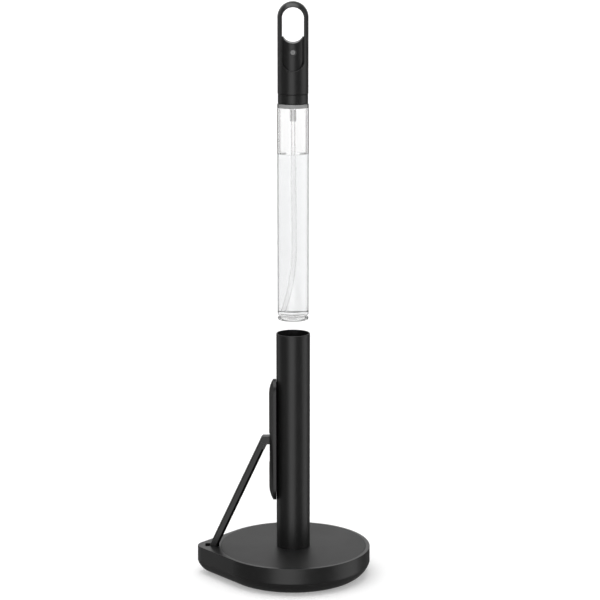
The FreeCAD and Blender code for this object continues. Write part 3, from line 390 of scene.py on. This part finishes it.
# ---- the bottle's liquid and the pump's spring ----
def lathe(name, profile, material, steps=ROUND_STEPS):
    """A closed mesh turned about the Z axis from (radius, height) points, first and last on the axis."""
    points, faces = [], []
    rings = []
    for radius, height in profile:
        if radius == 0:
            rings.append([len(points)] * steps)
            points.append((0, 0, height))
            continue
        rings.append([len(points) + i for i in range(steps)])
        for i in range(steps):
            turn = 2 * math.pi * i / steps
            points.append((radius * math.cos(turn), radius * math.sin(turn), height))
    for low, high in zip(rings, rings[1:]):
        for i in range(steps):
            j = (i + 1) % steps
            corners = dict.fromkeys((low[i], low[j], high[j], high[i]))
            faces.append(list(corners))
    mesh = bpy.data.meshes.new(name)
    mesh.from_pydata(points, [], faces)
    mesh.shade_smooth()
    mesh.set_sharp_from_angle(angle=SHARP_CORNER)
    mesh.materials.append(material)
    piece = bpy.data.objects.new(name, mesh)
    scene.collection.objects.link(piece)
    return piece


def bottle_liquid():
    """Fills the bottle from its floor to the surface, with a meniscus up the wall. It reaches a hair
    into the wall, so that light passes from plastic to liquid with no film of air between."""
    low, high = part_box("bottle_body")
    wall = (high.y - low.y) / 2 - WALL + WET
    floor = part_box("bottle_base")[1].z - 1.1 * MM
    profile = [(0, floor), (wall * 0.75, floor + 0.2 * MM), (wall, floor + 1.4 * MM)]
    steps = 8
    for i in range(steps + 1):
        t = i / steps
        profile.append((wall - MENISCUS_WIDTH * t, LIQUID_TOP + MENISCUS * (1 - t) ** 3))
    profile.append((wall * 0.4, LIQUID_TOP))
    profile.append((0, LIQUID_TOP))
    piece = lathe("liquid", profile, liquid_material())
    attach(piece, "bottle")


def return_spring():
    """The pump's spring as a piece of its own, with its own copy of the mesh, attached to the pump core's
    body.
    """
    coil = bpy.data.objects.new("return_spring", nodes["pump_spring"].data.copy())
    scene.collection.objects.link(coil)
    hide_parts("pump_spring")
    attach(coil, "pump_core")
    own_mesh(coil)


# ---- studio ----
def aim(thing, place, target):
    thing.location = place
    thing.rotation_mode = "QUATERNION"
    thing.rotation_quaternion = (Vector(target) - Vector(place)).to_track_quat("-Z", "Y")


def softbox(name, place, target, width, height, power, lights_only=None):
    """A rectangular lamp. With lights_only it lights and is blocked by just that collection, so the
    floor neither takes its light nor cuts off its lower half."""
    light = bpy.data.lights.new(name, "AREA")
    light.shape = "RECTANGLE"
    light.size = width
    light.size_y = height
    light.energy = power
    lamp = bpy.data.objects.new(name, light)
    scene.collection.objects.link(lamp)
    aim(lamp, place, target)
    lamp.visible_camera = False
    lamp.visible_transmission = False
    if lights_only is not None:
        lamp.light_linking.receiver_collection = lights_only
        lamp.light_linking.blocker_collection = lights_only


def product():
    """Every piece of the object in one collection, for the lamps that light only the object."""
    made = bpy.data.collections.new("product")
    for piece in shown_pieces():
        made.objects.link(piece)
    return made


def cove():
    """A pale round floor that curves up into a wall all round, with no horizon in any view."""
    g = Graph("studio_paper")
    tone = g.noise(0.5, detail=1.0)
    g.colour(g.blend(tone, grey(0.79), grey(0.81)))
    g.set(Roughness=1.0, Emission_Color=(1, 1, 1, 1))
    flat, bend, wall = 5.0, 2.5, 7.0
    glow = g.spread(g.radius(), 0.22, 0.54, 0.0, flat)
    g.link(glow, g.shader.inputs["Emission Strength"])
    g.set(Specular_IOR_Level=0.0)
    profile = [(0.4, 0), (flat, 0)]
    turns = 12
    for i in range(1, turns + 1):
        angle = math.pi / 2 * i / turns
        profile.append((flat + bend * math.sin(angle), bend * (1 - math.cos(angle))))
    profile.append((flat + bend, wall))
    points, faces = [], []
    for radius, height in profile:
        for i in range(ROUND_STEPS):
            turn = 2 * math.pi * i / ROUND_STEPS
            points.append((radius * math.cos(turn), radius * math.sin(turn), height))
    faces.append(list(range(ROUND_STEPS))[::-1])
    for ring in range(len(profile) - 1):
        for i in range(ROUND_STEPS):
            j = (i + 1) % ROUND_STEPS
            low, high = ring * ROUND_STEPS, (ring + 1) * ROUND_STEPS
            faces.append([low + i, low + j, high + j, high + i])
    mesh = bpy.data.meshes.new("studio_floor")
    mesh.from_pydata(points, [], faces)
    mesh.shade_smooth()
    mesh.materials.append(g.material)
    floor = bpy.data.objects.new("studio_floor", mesh)
    scene.collection.objects.link(floor)
    floor.visible_glossy = False
    floor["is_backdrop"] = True


def world(level):
    made = bpy.data.worlds.new("studio")
    made.use_nodes = True
    background = made.node_tree.nodes["Background"]
    background.inputs["Color"].default_value = (level, level, level, 1)
    scene.world = made


def camera():
    made = bpy.data.cameras.new("camera")
    made.sensor_width = 36.0
    made.lens = CAMERA_LENS
    eye = bpy.data.objects.new("camera", made)
    scene.collection.objects.link(eye)
    eye.location = CAMERA_PLACE
    eye.rotation_euler = (math.pi / 2 + CAMERA_PITCH, 0, 0)
    made.clip_start, made.clip_end = 0.05, 60
    scene.camera = eye


def studio():
    scene.view_settings.view_transform = "Standard"
    pieces = product()
    cove()
    world(0.13)
    softbox("front_softbox", (-0.35, -2.3, 0.1), (0, 0, 0.1), 1.8, 3.4, 26, pieces)
    softbox("right_softbox", (1.6, -0.05, 0.2), (0, 0, 0.2), 1.3, 3.2, 11, pieces)
    softbox("left_softbox", (-1.7, 0.75, 0.2), (0, 0, 0.2), 0.7, 3.2, 3.5, pieces)
    softbox("back_softbox", (-0.3, 3.0, 1.3), (0, 0, 0.3), 4.0, 1.6, 18, pieces)
    softbox("top_softbox", (-0.3, 0.1, 3.0), (0, 0, 0), 3.0, 3.0, 70)
    camera()


# ---- dressing ----
def dress_all():
    coat = powder_coat("powder_coat_black", 0.30)
    plate_coat = powder_coat("powder_coat_plate", 0.42)
    shell = moulded_plastic("base_shell_plastic", 0.0060, 0.34, 0.005 * MM)
    black = moulded_plastic("head_plastic", 0.0060, 0.34, 0.005 * MM)
    soft = rubber()
    zinc = drawn_steel("zinc_plated_steel", (0.60, 0.61, 0.62), 0.32, 0.4 * MM)
    spring = drawn_steel("spring_steel", (0.50, 0.50, 0.51), 0.25, 0.2 * MM)
    by_slot = {
        "satin_steel": coat,
        "shell_plastic": shell,
        "black_plastic": black,
        "rubber": soft,
        "cast_iron": cast_iron(),
        "fastener_steel": zinc,
        "spring_steel": spring,
        "turned_aluminium": turned_aluminium(),
        "clear_plastic": clear_plastic(),
        "tube_plastic": tube_plastic(),
        "pump_plastic": pump_plastic(),
        "nozzle_plastic": nozzle_plastic(),
    }
    slot_of = {}
    for material in frame["record"]["materials"]:
        for node in material.get("nodes", []):
            slot_of[node] = material["slot"]
    for name, node in nodes.items():
        slot = slot_of.get(name) or node.material_slots[0].material.name.split(".")[0]
        dress(name, by_slot[slot])
    dress("base_top_plate", plate_coat)
    dress("arm_core", painted_shade_core_plastic())
    dress("bottle_base", hazy_plastic())


dress_all()
bottle_liquid()
return_spring()
studio()
